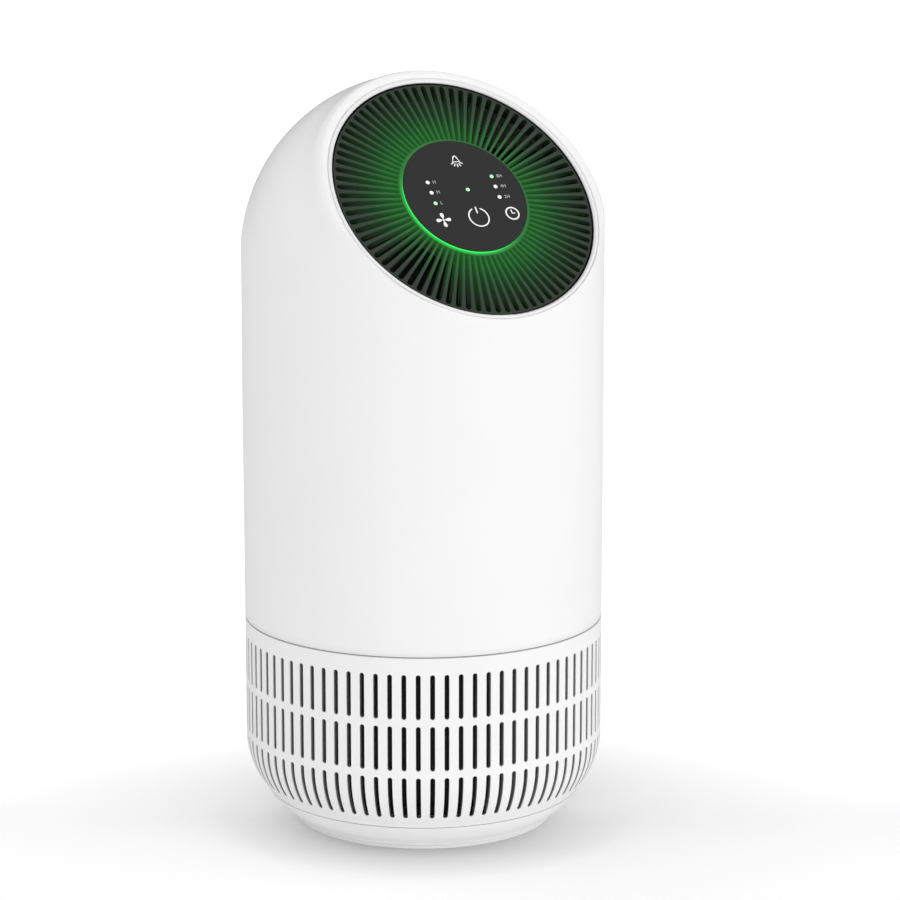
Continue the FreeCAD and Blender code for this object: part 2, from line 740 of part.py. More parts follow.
def board_components():
    y = BOARD_Y + BOARD_T
    parts = []
    for x, z, w, h, t in ((-12, 136, 10, 10, 1.2), (8, 150, 8, 5, 1.6), (-14, 160, 6, 4, 1.4),
                          (16, 162, 5, 9, 3.6), (0, 128.5, 12, 5, 5.0)):
        parts.append(box(x - w / 2, x + w / 2, y, y + t, z - h / 2, z + h / 2))
    for x, z, r in ((14, 138, 3.2), (-2, 146, 3.2), (4, 163, 2.5)):
        parts.append(Part.makeCylinder(r, 5.2, Vec(x, y, z), Vec(0, 1, 0)))
    return group(parts)


def board_posts():
    """Stand-offs that hold the board on the outside of the duct."""
    posts = []
    for x in BOARD_SCREW_X:
        for z in BOARD_SCREW_Z:
            post = Part.makeCylinder(3.0, 12, Vec(x, BOARD_Y - 12, z), Vec(0, 1, 0))
            hole = Part.makeCylinder(1.1, 8, Vec(x, BOARD_Y - 8, z), Vec(0, 1, 0))
            posts.append(post.cut(hole).cut(cyl(DUCT_R, 100, 200)))
    return group(posts)


def board_screws():
    screws = []
    y = BOARD_Y + BOARD_T
    for x in BOARD_SCREW_X:
        for z in BOARD_SCREW_Z:
            shank = Part.makeCylinder(1.05, 6, Vec(x, y - 6, z), Vec(0, 1, 0))
            head = Part.makeCylinder(2.3, 1.5, Vec(x, y, z), Vec(0, 1, 0))
            screws.append(shank.fuse(head))
    return group(screws)


def along_y(steps):
    """A turned part about the +Y line through the inlet; steps are (r, y)."""
    out = revolved(steps)
    out.rotate(Vec(0, 0, 0), Vec(1, 0, 0), -90)
    out.translate(Vec(0, 0, JACK_Z))
    return out


def dc_jack():
    return along_y([
        (0.0, 69.0), (JACK_R, 69.0), (JACK_R, 81.3), (5.0, 81.3), (4.8, JACK_MOUTH_Y),
        (3.2, JACK_MOUTH_Y), (3.2, JACK_MOUTH_Y - 3.0), (2.85, JACK_MOUTH_Y - 3.0), (2.85, 70.0),
        (1.0, 70.0), (1.0, 75.4), (0.7, 76.0), (0.0, 76.0),
    ])


def jack_nut():
    return along_y([(JACK_R, 75.8), (8.6, 75.8), (8.6, 78.8), (JACK_R, 78.8)])


NODES = (
    main_shell, trim_ring, intake_grille, base_cover, foot_ring,
    outlet_grille, light_guide_ring, control_panel, touch_board, indicator_leds, ring_leds,
    touch_pads, control_cup, cup_screws,
    air_duct, fan_plate, finger_guard, case_screws,
    impeller, impeller_nut, motor_shaft, motor_bearings, motor_rotor, motor_stator,
    motor_can, motor_end_cap, motor_mount, motor_dampers, motor_screws, mount_screws,
    filter_media, filter_carbon, filter_mesh, filter_bottom_cap, filter_top_cap, filter_seal,
    main_board, board_components, board_posts, board_screws, dc_jack, jack_nut,
)

os.makedirs("parts", exist_ok=True)
for make in NODES:
    make().exportStep("parts/" + make.__name__ + ".step")
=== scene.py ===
"""Looks of the tower air purifier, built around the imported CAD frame. Metres, +Z up."""
import bpy
import bmesh
import json
import math
from mathutils import Matrix, Vector

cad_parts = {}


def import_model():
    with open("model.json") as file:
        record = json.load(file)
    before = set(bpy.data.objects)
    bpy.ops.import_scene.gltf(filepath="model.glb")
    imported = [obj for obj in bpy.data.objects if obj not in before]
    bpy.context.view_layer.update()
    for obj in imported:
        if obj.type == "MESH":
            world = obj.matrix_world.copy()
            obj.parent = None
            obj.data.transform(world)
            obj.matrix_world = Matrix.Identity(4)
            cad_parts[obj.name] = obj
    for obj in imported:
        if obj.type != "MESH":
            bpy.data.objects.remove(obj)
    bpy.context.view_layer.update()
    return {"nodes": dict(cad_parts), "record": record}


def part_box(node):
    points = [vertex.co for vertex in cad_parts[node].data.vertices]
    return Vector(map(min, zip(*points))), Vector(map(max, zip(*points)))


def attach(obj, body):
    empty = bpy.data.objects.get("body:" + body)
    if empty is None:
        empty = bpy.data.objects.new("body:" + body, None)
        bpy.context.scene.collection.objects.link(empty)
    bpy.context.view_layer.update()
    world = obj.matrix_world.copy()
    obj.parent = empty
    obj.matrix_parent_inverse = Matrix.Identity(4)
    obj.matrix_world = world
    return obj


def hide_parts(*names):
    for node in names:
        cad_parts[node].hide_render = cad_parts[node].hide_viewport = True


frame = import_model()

MM = 0.001
NODES = frame["nodes"]

# ------------------------------------------------------------------ shape of the body, in mm
BODY_LO, BODY_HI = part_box("main_shell")
BODY_R = BODY_HI[0] / MM
SPLIT_Z = BODY_LO[2] / MM
TOP_Z = BODY_HI[2] / MM
WALL = 2.4
DOME_Z = 259.5            # centre of the dome
TILT = math.radians(49.4)
DISC_RISE = 49.0          # outlet plane over the dome's centre, along the outlet's axis
DISC_DROP = 2.2           # outlet axis below the dome's centre, down the slope
SEAM_R = 63.8             # open line round the trim ring
SEAM_RISE = 50.15
SEAM_ROUND = 0.35
TRIM_R = 63.5
TRIM_DEPTH = 4.4
MOUTH_R = 60.0            # opening under the grille
LEDGE_DROP = 6.5          # underside of the ledge that carries the grille
COLLAR_R = 63.84          # rounded rim of the mouth
COLLAR_RISE = 46.35
COLLAR_DROP = 0.92
RIM_ROUND = 4.0
BLEND = 2.5               # hollow between rim and dome, at the front and back
BLEND_SIDE = 5.5          # what is added to it at the sides
PANEL_R = 29.3
PANEL_TOP = 1.3
LOWER_ARC_R = 35.3        # round of the intake grille down to the base cover
LOWER_ARC_Z = 39.0
JACK_HOLE_R = 6.2
SEAM_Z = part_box("intake_grille")[0][2] / MM - 0.15
JACK_Z = (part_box("dc_jack")[0][2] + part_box("dc_jack")[1][2]) / 2 / MM

NORMAL = Vector((0.0, -math.sin(TILT), math.cos(TILT)))
UPSLOPE = Vector((0.0, math.cos(TILT), math.sin(TILT)))
ACROSS = Vector((1.0, 0.0, 0.0))
DOME = Vector((0.0, 0.0, DOME_Z))
DISC = DOME + NORMAL * DISC_RISE - UPSLOPE * DISC_DROP
# side towards which the light guide's glow and its spill on the grille are painted brighter
LIT_SIDE = ACROSS * -0.64 - UPSLOPE * 0.77


def on_disc(x, y, z=0.0):
    """A point given in the slanted outlet's own frame, in metres."""
    return (DISC + ACROSS * x + UPSLOPE * y + NORMAL * z) * MM


# ------------------------------------------------------------------ node materials
def new_material(name):
    mat = bpy.data.materials.new(name)
    mat.use_nodes = True
    nodes = mat.node_tree.nodes
    shader = nodes["Principled BSDF"]
    coord = nodes.new("ShaderNodeTexCoord")
    return mat, mat.node_tree, shader, coord.outputs["Object"]


def noise(tree, where, scale, detail=3.0, rough=0.55):
    node = tree.nodes.new("ShaderNodeTexNoise")
    node.inputs["Scale"].default_value = scale
    node.inputs["Detail"].default_value = detail
    node.inputs["Roughness"].default_value = rough
    tree.links.new(where, node.inputs["Vector"])
    return node.outputs["Fac"]


def ramp(tree, fac, stops):
    node = tree.nodes.new("ShaderNodeValToRGB")
    tree.links.new(fac, node.inputs["Fac"])
    elements = node.color_ramp.elements
    while len(elements) < len(stops):
        elements.new(0.5)
    for element, (place, colour) in zip(elements, stops):
        element.position = place
        if isinstance(colour, (int, float)):
            colour = (colour, colour, colour)
        element.color = (*colour, 1.0)
    return node.outputs["Color"]


def value_range(tree, fac, lo, hi, to_lo, to_hi):
    node = tree.nodes.new("ShaderNodeMapRange")
    for key, value in (("From Min", lo), ("From Max", hi), ("To Min", to_lo), ("To Max", to_hi)):
        node.inputs[key].default_value = value
    tree.links.new(fac, node.inputs["Value"])
    return node.outputs["Result"]


def bump(tree, shader, height, strength, distance):
    node = tree.nodes.new("ShaderNodeBump")
    node.inputs["Strength"].default_value = strength
    node.inputs["Distance"].default_value = distance
    tree.links.new(height, node.inputs["Height"])
    tree.links.new(node.outputs["Normal"], shader.inputs["Normal"])


def tint(colour, factor):
    return tuple(min(1.0, c * factor) for c in colour)


def moulded(name, colour, rough, grain=2200.0, grain_depth=0.00004, spec=0.5, coat=0.0, spread=0.02,
            ior=1.5):
    """Moulded plastic or rubber: fine texture, faint flow marks, slightly uneven gloss."""
    mat, tree, shader, where = new_material(name)
    fine = noise(tree, where, grain, 2.0)
    slow = noise(tree, where, 14.0, 2.0)
    shade = ramp(tree, slow, ((0.3, tint(colour, 1 - spread)), (0.7, tint(colour, 1 + spread))))
    tree.links.new(shade, shader.inputs["Base Color"])
    tree.links.new(value_range(tree, slow, 0.3, 0.7, rough - 0.03, rough + 0.04),
                   shader.inputs["Roughness"])
    bump(tree, shader, fine, 0.25, grain_depth)
    shader.inputs["Specular IOR Level"].default_value = spec
    shader.inputs["IOR"].default_value = ior
    shader.inputs["Coat Weight"].default_value = coat
    shader.inputs["Coat Roughness"].default_value = 0.12
    return mat


def vector_node(tree, operation, a, b=None):
    """A vector operation whose second value is a socket or a constant."""
    node = tree.nodes.new("ShaderNodeVectorMath")
    node.operation = operation
    tree.links.new(a, node.inputs[0])
    if isinstance(b, bpy.types.NodeSocket):
        tree.links.new(b, node.inputs[1])
    elif b is not None:
        node.inputs[1].default_value = b
    return node


def scaled(tree, vector, factor):
    node = vector_node(tree, "SCALE", vector)
    tree.links.new(factor, node.inputs["Scale"])
    return node.outputs["Vector"]


def along(tree, where, direction):
    """Distance of a place along one direction."""
    return vector_node(tree, "DOT_PRODUCT", where, direction).outputs["Value"]


def shade_by(tree, shader, factor):
    """Multiplies the base colour that is already linked by a 0-1 factor."""
    source = shader.inputs["Base Color"].links[0].from_socket
    tree.links.new(scaled(tree, source, factor), shader.inputs["Base Color"])


def plastic_with_place(name, *look, **more):
    """A moulded finish, with the object coordinates to shade it by."""
    mat = moulded(name, *look, **more)
    tree = mat.node_tree
    where = tree.nodes["Texture Coordinate"].outputs["Object"]
    return mat, tree, tree.nodes["Principled BSDF"], where


def math_node(tree, operation, a, b=None):
    node = tree.nodes.new("ShaderNodeMath")
    node.operation = operation
    for socket, value in zip(node.inputs, (a, b)):
        if value is None:
            continue
        if isinstance(value, (int, float)):
            socket.default_value = value
        else:
            tree.links.new(value, socket)
    return node.outputs[0]


def radius_and_height(tree, where):
    split = tree.nodes.new("ShaderNodeSeparateXYZ")
    tree.links.new(where, split.inputs[0])
    x2 = math_node(tree, "MULTIPLY", split.outputs["X"], split.outputs["X"])
    y2 = math_node(tree, "MULTIPLY", split.outputs["Y"], split.outputs["Y"])
    return math_node(tree, "SQRT", math_node(tree, "ADD", x2, y2)), split.outputs["Z"]


WHITE = (0.86, 0.86, 0.86)
SHELL_LOOK = (WHITE, 0.36)
SHELL_GLOSS = {"spread": 0.006, "ior": 1.22}
SEAT_R = 62.5             # the shell inside this radius is under the grille


def shell_white():
    """The shell's white, with painted shade: the seat under the outlet grille is darkened nearly to
    black.
    """
    mat, tree, shader, where = plastic_with_place("shell_white", *SHELL_LOOK, **SHELL_GLOSS)
    level = disc_height(tree, where)
    inside = value_range(tree, disc_distance(tree, where), (SEAT_R - 0.3) * MM,
                         (SEAT_R + 0.3) * MM, 1.0, 0.0)
    under = math_node(tree, "MULTIPLY", value_range(tree, level, -0.9 * MM, -0.4 * MM, 1.0, 0.0),
                      value_range(tree, level, -16 * MM, -14 * MM, 0.0, 1.0))
    # painted shade: inside the seat radius and below the grille's face the colour drops nearly to
    # black
    shade_by(tree, shader, value_range(tree, math_node(tree, "MULTIPLY", inside, under),
                                       0.0, 1.0, 1.0, 0.04))
    return mat


def grille_white():
    """The shell's white, with painted shade: the walls of the slots darken with depth, and the top
    edge at the parting line is darkened.
    """
    mat, tree, shader, where = plastic_with_place("grille_white", *SHELL_LOOK, **SHELL_GLOSS)
    radius, height = radius_and_height(tree, where)
    out = math_node(tree, "SUBTRACT", radius, (BODY_R - LOWER_ARC_R) * MM)
    down = math_node(tree, "MINIMUM", math_node(tree, "SUBTRACT", height, LOWER_ARC_Z * MM), 0.0)
    reach = math_node(tree, "SQRT", math_node(tree, "ADD", math_node(tree, "MULTIPLY", out, out),
                                              math_node(tree, "MULTIPLY", down, down)))
    depth = math_node(tree, "SUBTRACT", LOWER_ARC_R * MM, reach)
    # painted shade: the slot walls darken with depth under the outer surface
    factor = ramp(tree, math_node(tree, "DIVIDE", depth, WALL * MM), (
        (0.06, 1.0), (0.20, 0.42), (0.55, 0.20), (0.93, 0.12), (0.985, 1.0)))
    shade_by(tree, shader, factor)
    # painted shade: the grille's top edge at the parting line is darkened to half
    shade_by(tree, shader, value_range(tree, height, (SPLIT_Z - 0.75) * MM, (SPLIT_Z - 0.35) * MM,
                                       1.0, 0.5))
    return mat


def trim_white():
    """Gloss white, with painted shade: the part below the grille's face is darkened nearly to
    black, standing in for the dark of the gap.
    """
    mat, tree, shader, where = plastic_with_place("trim_white", (0.79, 0.79, 0.79), 0.24,
                                                  spread=0.006, coat=0.3)
    height = disc_height(tree, where)
    # painted shade below the grille's face
    shade_by(tree, shader, value_range(tree, height, -0.05 * MM, 0.4 * MM, 0.03, 1.0))
    return mat


def cover_white():
    """The shell's white, with painted shade: the bayonet skirt inside the shell is darkened to dark
    grey.
    """
    mat, tree, shader, where = plastic_with_place("cover_white", *SHELL_LOOK, **SHELL_GLOSS)
    _, height = radius_and_height(tree, where)
    # painted shade: above the seam the skirt's colour drops to dark grey
    shade_by(tree, shader, value_range(tree, height, (SEAM_Z + 0.2) * MM, (SEAM_Z + 0.6) * MM,
                                       1.0, 0.06))
    return mat


def metal(name, colour, rough):
    mat, tree, shader, where = new_material(name)
    fine = noise(tree, where, 900.0, 4.0)
    shade = ramp(tree, fine, ((0.3, tint(colour, 0.86)), (0.7, tint(colour, 1.08))))
    tree.links.new(shade, shader.inputs["Base Color"])
    tree.links.new(value_range(tree, fine, 0.3, 0.7, rough - 0.06, rough + 0.08),
                   shader.inputs["Roughness"])
    bump(tree, shader, fine, 0.2, 0.00003)
    shader.inputs["Metallic"].default_value = 1.0
    return mat


def from_disc(tree, where):
    """The place, measured from the middle of the outlet."""
    return vector_node(tree, "SUBTRACT", where, DISC * MM).outputs["Vector"]


def disc_distance(tree, where):
    """Distance from the outlet's axis, in metres, whatever pose the housing is in."""
    off_axis = vector_node(tree, "CROSS_PRODUCT", from_disc(tree, where), NORMAL)
    length = vector_node(tree, "LENGTH", off_axis.outputs["Vector"])
    return length.outputs["Value"]


def disc_side(tree, where, direction):
    """Distance along one direction across the outlet, in metres."""
    return along(tree, from_disc(tree, where), direction)


def disc_height(tree, where):
    """Height over the outlet plane, in metres."""
    return disc_side(tree, where, NORMAL)


def glowing_grille():
    """Black plastic with painted green light: emission stands in for the light guide's glow falling
    on it near the panel.
    """
    mat, tree, shader, where = new_material("grille_black_lit")
    fine = noise(tree, where, 2600.0, 2.0)
    slow = noise(tree, where, 18.0, 2.0)
    base = ramp(tree, slow, ((0.3, (0.019, 0.019, 0.019)), (0.7, (0.023, 0.023, 0.023))))
    tree.links.new(base, shader.inputs["Base Color"])
    tree.links.new(value_range(tree, slow, 0.3, 0.7, 0.42, 0.50), shader.inputs["Roughness"])
    bump(tree, shader, fine, 0.25, 0.00004)
    shader.inputs["Specular IOR Level"].default_value = 0.30
    away = disc_distance(tree, where)
    # base colour darker towards the panel
    shade_by(tree, shader, value_range(tree, away, 30 * MM, 48 * MM, 0.5, 1.0))
    near = value_range(tree, away, 29 * MM, 60 * MM, 0.0, 1.0)
    # painted light: green emission that fades away from the panel and with depth in the slots
    glow = ramp(tree, near, (
        (0.000, (0.016, 0.240, 0.030)),
        (0.065, (0.007, 0.115, 0.013)),
        (0.130, (0.005, 0.118, 0.012)),
        (0.258, (0.004, 0.105, 0.011)),
        (0.387, (0.003, 0.075, 0.010)),
        (0.516, (0.001, 0.050, 0.005)),
        (0.645, (0.001, 0.034, 0.003)),
        (0.774, (0.000, 0.020, 0.001)),
        (1.000, (0.000, 0.007, 0.000)),
    ))
    level = disc_height(tree, where)
    below = value_range(tree, level, -8 * MM, -0.2 * MM, 0.0, 1.0)
    depth = ramp(tree, below, ((0.0, 0.05), (0.56, 0.28), (1.0, 1.0)))
    # painted light: the lit side of the light guide spills on to the band beside the panel
    side = disc_side(tree, where, LIT_SIDE)
    beside = value_range(tree, away, (PANEL_R + 0.4) * MM, (PANEL_R + 1.5) * MM, 1.0, 0.0)
    beside = math_node(tree, "MULTIPLY", beside, value_range(tree, side, 4 * MM, 26 * MM, 0.0, 1.0))
    beside = math_node(tree, "MULTIPLY", beside,
                       value_range(tree, level, -1.2 * MM, -0.2 * MM, 0.0, 1.0))
    spill = ramp(tree, beside, ((0.0, (0.0, 0.0, 0.0)), (1.0, (0.012, 0.34, 0.045))))
    # painted light: faint scattered light deep in the slots, but not in the gap at their ends
    hidden = math_node(tree, "MULTIPLY", value_range(tree, depth, 0.30, 0.95, 1.0, 0.0),
                       value_range(tree, away, 53 * MM, 56 * MM, 1.0, 0.0))
    haze = ramp(tree, hidden, ((0.0, (0.0, 0.0, 0.0)), (1.0, (0.011, 0.012, 0.011))))
    total = scaled(tree, glow, depth)
    for extra in (spill, haze):
        total = vector_node(tree, "ADD", total, extra).outputs["Vector"]
    tree.links.new(total, shader.inputs["Emission Color"])
    shader.inputs["Emission Strength"].default_value = 1.0
    return mat


def light_guide():
    """Clear green ring that glows, with painted light brighter on one side and painted shade
    darkening it below the panel.
    """
    mat, tree, shader, where = new_material("light_guide_green")
    slow = noise(tree, where, 160.0, 2.0)
    lit = ramp(tree, slow, ((0.3, (0.018, 0.56, 0.07)), (0.7, (0.026, 0.66, 0.09))))
    # painted shade: colour and glow fall nearly to black below the panel
    near_top = value_range(tree, disc_height(tree, where), -3 * MM, -1 * MM, 0.03, 1.0)
    tree.links.new(scaled(tree, lit, near_top), shader.inputs["Base Color"])
    # painted light: the glow is brighter towards LIT_SIDE
    side = disc_side(tree, where, LIT_SIDE)
    level = math_node(tree, "MULTIPLY", value_range(tree, side, 4 * MM, 23 * MM, 0.14, 1.0),
                      near_top)
    tree.links.new(scaled(tree, lit, level), shader.inputs["Emission Color"])
    fine = noise(tree, where, 1500.0, 2.0)
    tree.links.new(value_range(tree, fine, 0.3, 0.7, 0.35, 0.5), shader.inputs["Roughness"])
    bump(tree, shader, fine, 0.2, 0.00003)
    shader.inputs["Emission Strength"].default_value = 1.1
    return mat


def lamp(name, colour, strength):
    """Printed or lit marks on the panel."""
    mat, tree, shader, where = new_material(name)
    fine = noise(tree, where, 3000.0, 1.0)
    lit = ramp(tree, fine, ((0.2, tint(colour, 0.94)), (0.8, colour)))
    tree.links.new(lit, shader.inputs["Emission Color"])
    tree.links.new(lit, shader.inputs["Base Color"])
    tree.links.new(value_range(tree, fine, 0.3, 0.7, 0.4, 0.5), shader.inputs["Roughness"])
    shader.inputs["Emission Strength"].default_value = strength
    return mat


def paper():
    mat, tree, shader, where = new_material("filter_paper")
    fibre = noise(tree, where, 700.0, 6.0, 0.7)
    shade = ramp(tree, fibre, ((0.3, (0.74, 0.74, 0.69)), (0.7, (0.87, 0.87, 0.83))))
    tree.links.new(shade, shader.inputs["Base Color"])
    tree.links.new(value_range(tree, fibre, 0.3, 0.7, 0.85, 0.95), shader.inputs["Roughness"])
    bump(tree, shader, fibre, 0.5, 0.0002)
    return mat


NET_R = 62.0              # radius of the net sleeve


def net(name, thread, hole, pitch):
    """Fine woven net, threads up and round the sleeve."""
    mat, tree, shader, where = new_material(name)
    split = tree.nodes.new("ShaderNodeSeparateXYZ")
    tree.links.new(where, split.inputs[0])
    angle = math_node(tree, "ARCTAN2", split.outputs["Y"], split.outputs["X"])
    waves = []
    for source, reach in ((angle, NET_R * MM), (split.outputs["Z"], 1.0)):
        phase = math_node(tree, "MULTIPLY", source, reach * math.pi / pitch)
        waves.append(math_node(tree, "ABSOLUTE", math_node(tree, "COSINE", phase)))
    most = math_node(tree, "MAXIMUM", *waves)
    shade = ramp(tree, most, ((0.80, hole), (0.92, thread)))
    tree.links.new(shade, shader.inputs["Base Color"])
    fibre = noise(tree, where, 3000.0, 2.0)
    tree.links.new(value_range(tree, fibre, 0.3, 0.7, 0.7, 0.85), shader.inputs["Roughness"])
    bump(tree, shader, most, 0.6, 0.0002)
    return mat


def granules():
    mat, tree, shader, where = new_material("carbon_granules")
    cells = tree.nodes.new("ShaderNodeTexVoronoi")
    cells.inputs["Scale"].default_value = 700.0
    tree.links.new(where, cells.inputs["Vector"])
    depth = cells.outputs["Distance"]
    # painted shade: each granule is lighter in its middle and darker towards its edge
    shade = ramp(tree, depth, ((0.1, (0.06, 0.06, 0.065)), (0.6, (0.012, 0.012, 0.012))))
    tree.links.new(shade, shader.inputs["Base Color"])
    tree.links.new(value_range(tree, depth, 0.0, 0.7, 0.5, 0.9), shader.inputs["Roughness"])
    bump(tree, shader, depth, 0.8, 0.0006)
    return mat


def board():
    mat, tree, shader, where = new_material("circuit_board")
    brick = tree.nodes.new("ShaderNodeTexBrick")
    brick.inputs["Scale"].default_value = 160.0
    brick.inputs["Color1"].default_value = (0.012, 0.115, 0.035, 1)
    brick.inputs["Color2"].default_value = (0.016, 0.140, 0.045, 1)
    brick.inputs["Mortar"].default_value = (0.03, 0.20, 0.07, 1)
    brick.inputs["Mortar Size"].default_value = 0.03
    tree.links.new(where, brick.inputs["Vector"])
    tree.links.new(brick.outputs["Color"], shader.inputs["Base Color"])
    fine = noise(tree, where, 900.0, 2.0)
    tree.links.new(value_range(tree, fine, 0.3, 0.7, 0.3, 0.42), shader.inputs["Roughness"])
    bump(tree, shader, brick.outputs["Fac"], 0.3, 0.00005)
    return mat


FINISH = {
    "shell_white": shell_white(),
    "trim_white": trim_white(),
    "foot_white": moulded("foot_white", (0.78, 0.78, 0.78), 0.6, grain=1500),
    "grille_black": glowing_grille(),
    "panel_black": moulded("panel_black", (0.011, 0.011, 0.011), 0.42, spec=0.33, spread=0.03),
    "light_green": light_guide(),
    "led": lamp("led_clear", (0.7, 1.0, 0.75), 0.6),
    "board_green": board(),
    "chip_black": moulded("chip_black", (0.03, 0.03, 0.034), 0.45, spread=0.1),
    "foam_grey": moulded("foam_grey", (0.10, 0.10, 0.11), 0.9, grain=900, grain_depth=0.0003),
    "inner_white": moulded("inner_white", (0.62, 0.62, 0.60), 0.45),
    "fan_grey": moulded("fan_grey", (0.07, 0.075, 0.08), 0.42),
    "steel": metal("plated_steel", (0.62, 0.62, 0.64), 0.3),
    "brass": metal("brass", (0.72, 0.52, 0.22), 0.3),
    "copper_coil": metal("winding", (0.60, 0.26, 0.12), 0.35),
    "rubber_black": moulded("rubber_black", (0.02, 0.02, 0.02), 0.65, grain=1500),
    "filter_paper": paper(),
    "carbon": granules(),
    "mesh_white": net("prefilter_net", (0.05, 0.05, 0.055), (0.012, 0.012, 0.012), 0.0009),
    "cap_white": moulded("cap_white", (0.66, 0.67, 0.66), 0.5),
}

SLOT_OF = {part["node"]: part["material_slot"] for part in frame["record"]["subparts"]}
# painted shade: near-black for the duct, fan plate and motor mount instead of their recorded
# finish, standing in for the shade inside the housing
DUCT_DARK = moulded("duct_dark", (0.035, 0.036, 0.037), 0.55)
SPECIAL = {
    "intake_grille": grille_white(),
    "base_cover": cover_white(),
    "air_duct": DUCT_DARK,
    "fan_plate": DUCT_DARK,
    "motor_mount": DUCT_DARK,
}
for node_name, node_object in NODES.items():
    finish = SPECIAL.get(node_name, FINISH[SLOT_OF[node_name]])
    node_object.data.materials.clear()
    node_object.data.materials.append(finish)


# ------------------------------------------------------------------ mesh helpers
def add_mesh(name, verts, faces, body, slot_name, smooth=True, finish=None):
    mesh = bpy.data.meshes.new(name)
    mesh.from_pydata([tuple(v) for v in verts], [], faces)
    mesh.validate()
    bm = bmesh.new()
    bm.from_mesh(mesh)
    bmesh.ops.recalc_face_normals(bm, faces=bm.faces)
    bm.to_mesh(mesh)
    bm.free()
    for poly in mesh.polygons:
        poly.use_smooth = smooth
    obj = bpy.data.objects.new(name, mesh)
    bpy.context.scene.collection.objects.link(obj)
    mesh.materials.append(finish or FINISH[slot_name])
    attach(obj, body)
    return obj


# ------------------------------------------------------------------ main shell
def capsule_gap(p):
    """Signed distance from the plain capsule, in mm."""
    if p.z > DOME_Z:
        return (p - DOME).length - BODY_R
    return math.hypot(p.x, p.y) - BODY_R


def collar_gap(p):
    """Signed distance from the rounded rim of the mouth, in mm."""
    q = p - DOME
    rho = math.hypot(q.dot(ACROSS), q.dot(UPSLOPE) + COLLAR_DROP)
    out = rho - COLLAR_R
    rise = q.dot(NORMAL) - COLLAR_RISE
    inside = min(max(out, rise), 0.0)
    gap = inside + math.hypot(max(out, 0.0), max(rise, 0.0)) - RIM_ROUND
    return max(gap, -q.dot(NORMAL))


def limited(value, soft, hard):
    """Eases a value that passes soft so that it never passes hard."""
    if value <= soft:
        return value
    room = hard - soft
    return hard - room * math.exp(-(value - soft) / room)


def body_gap(p, blend):
    a = capsule_gap(p)
    b = collar_gap(p)
    h = max(blend - abs(a - b), 0.0) / blend
    return min(a, b) - h * h * blend / 4


def surface_point(centre, direction, gap):
    """Where a ray from inside leaves the solid whose signed distance is gap(point)."""
    lo, hi = 20.0, 260.0
    for _ in range(40):
        mid = (lo + hi) / 2
        if gap(centre + direction * mid) < 0:
            lo = mid
        else:
            hi = mid
    return centre + direction * (lo + hi) / 2


def fan_out(centre, start, end, u):
    """Direction from the centre, a share u of the way round from start to end."""
    d0 = (start - centre).normalized()
    d1 = (end - centre).normalized()
    total = d0.angle(d1)
    turned = d0 * math.sin(total * (1 - u)) + d1 * math.sin(total * u)
    return (turned / math.sin(total)).normalized()


COLUMNS = 288             # quads round the shell
ROWS = 150                # quads from the outlet down to the parting line
INNER_ROWS = 60
SEAM_LIFT = 0.2           # small chamfer at the parting line
OUTER_CENTRE = Vector((0.0, 6.0, 215.0))
INNER_CENTRE = Vector((0.0, 6.0, 205.0))


def round_z(radius, angle, z):
    return Vector((radius * math.sin(angle), -radius * math.cos(angle), z))


def round_disc(radius, angle, rise):
    """A point on a circle round the outlet's axis."""
    return (DISC + NORMAL * rise + ACROSS * radius * math.sin(angle)
            - UPSLOPE * radius * math.cos(angle))


def loop_of(point, *place):
    """One closed loop of the skin; place is what point takes besides the angle."""
    radius, height = place
    return [point(radius, 2 * math.pi * k / COLUMNS, height) for k in range(COLUMNS)]


def shell_column(angle):
    """Outside points from the seam round the outlet down to the parting line."""
    blend = BLEND + BLEND_SIDE * math.sin(angle) ** 2
    seam = round_disc(SEAM_R + SEAM_ROUND, angle, SEAM_RISE - DISC_RISE)
    foot = round_z(BODY_R, angle, SPLIT_Z + SEAM_LIFT)
    points = [seam]
    for i in range(1, ROWS):
        u = i / ROWS
        direction = fan_out(OUTER_CENTRE, seam, foot, 0.45 * u * u + 0.55 * u)
        points.append(surface_point(OUTER_CENTRE, direction, lambda p: body_gap(p, blend)))
    points.append(foot)
    front = (1 + math.cos(angle)) / 2
    return [inside_box(p) for p in ease(points, 1.2 + 2.8 * front ** 2)]


def inner_column(angle):
    """Inside points from the parting line up to the ledge under the grille."""
    low = round_z(BODY_R - WALL, angle, SPLIT_Z + SEAM_LIFT)
    top = round_disc(MOUTH_R + 6.0, angle, -LEDGE_DROP)

    def gap(p):
        return max(capsule_gap(p) + WALL, (p - DOME).dot(NORMAL) - DISC_RISE + LEDGE_DROP)

    return [surface_point(INNER_CENTRE, fan_out(INNER_CENTRE, low, top, i / INNER_ROWS), gap)
            for i in range(INNER_ROWS + 1)]


def inside_box(p):
    """Keeps the rim within the body's own width and height."""
    z = limited(p.z, TOP_Z - 1.2, TOP_Z - 0.05)
    r = math.hypot(p.x, p.y)
    if p.z < 200 or r < BODY_R - 0.6:
        return Vector((p.x, p.y, z))
    near = min((p.z - 200) / 30, 1.0)
    k = 1 + (limited(r, BODY_R - 0.6, BODY_R - 0.02) / r - 1) * near
    return Vector((p.x * k, p.y * k, z))


